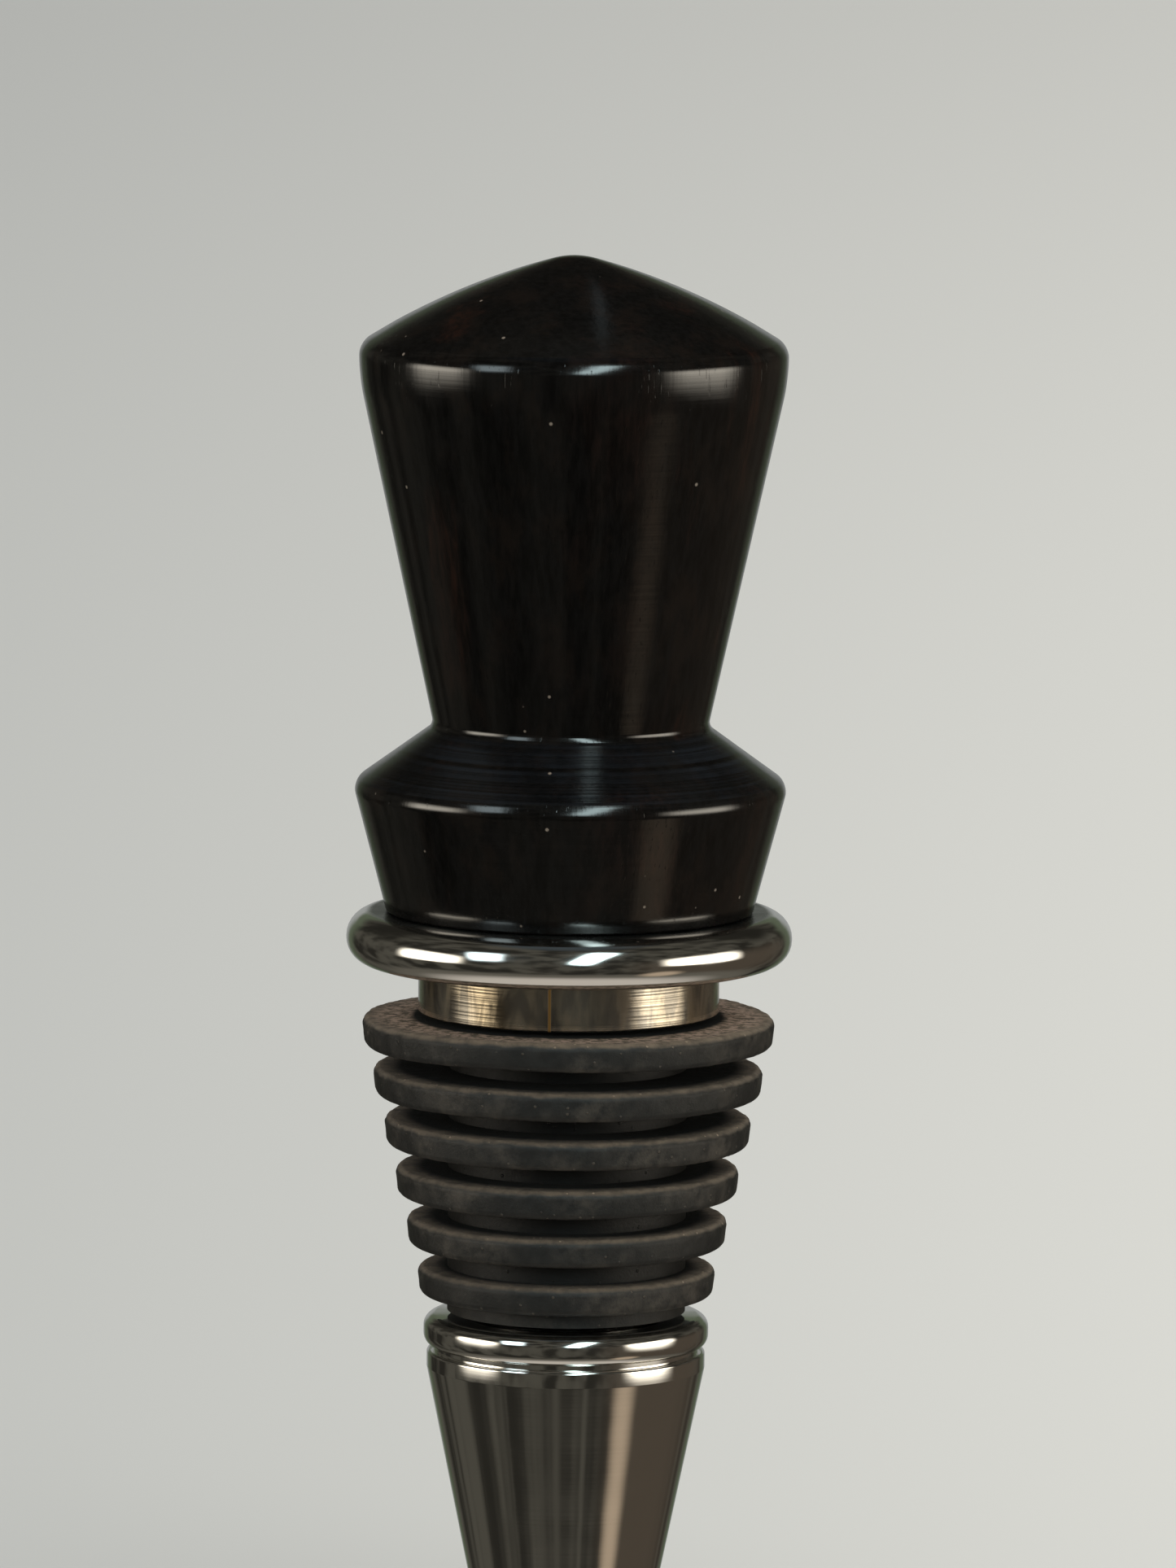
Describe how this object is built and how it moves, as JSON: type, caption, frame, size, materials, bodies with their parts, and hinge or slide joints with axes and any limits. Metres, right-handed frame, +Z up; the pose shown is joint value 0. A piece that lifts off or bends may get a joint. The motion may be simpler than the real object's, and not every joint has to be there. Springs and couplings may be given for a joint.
{
  "type": "bottle stopper",
  "caption": "Turned dark wooden bottle stopper with a pointed cap and waisted knob, on a chromed flange and taper with a ribbed rubber seal.",
  "frame": {"origin": "centre of the flat foot at the end of the metal taper", "axes": "+Z up along the turning axis, from the foot towards the head's tip"},
  "size_m": [0.0264, 0.0264, 0.0865],
  "materials": {
    "wood": "polished near-black hardwood with dark red-brown streaks",
    "chrome": "mirror-bright plating",
    "rubber": "matt black rubber with brown dust",
    "stud_steel": "plain zinc-plated thread"
  },
  "bodies": {
    "root": {"wood_head": "wood", "chrome_base": "chrome", "rubber_seal": "rubber", "threaded_stud": "stud_steel"}
  },
  "joints": []
}
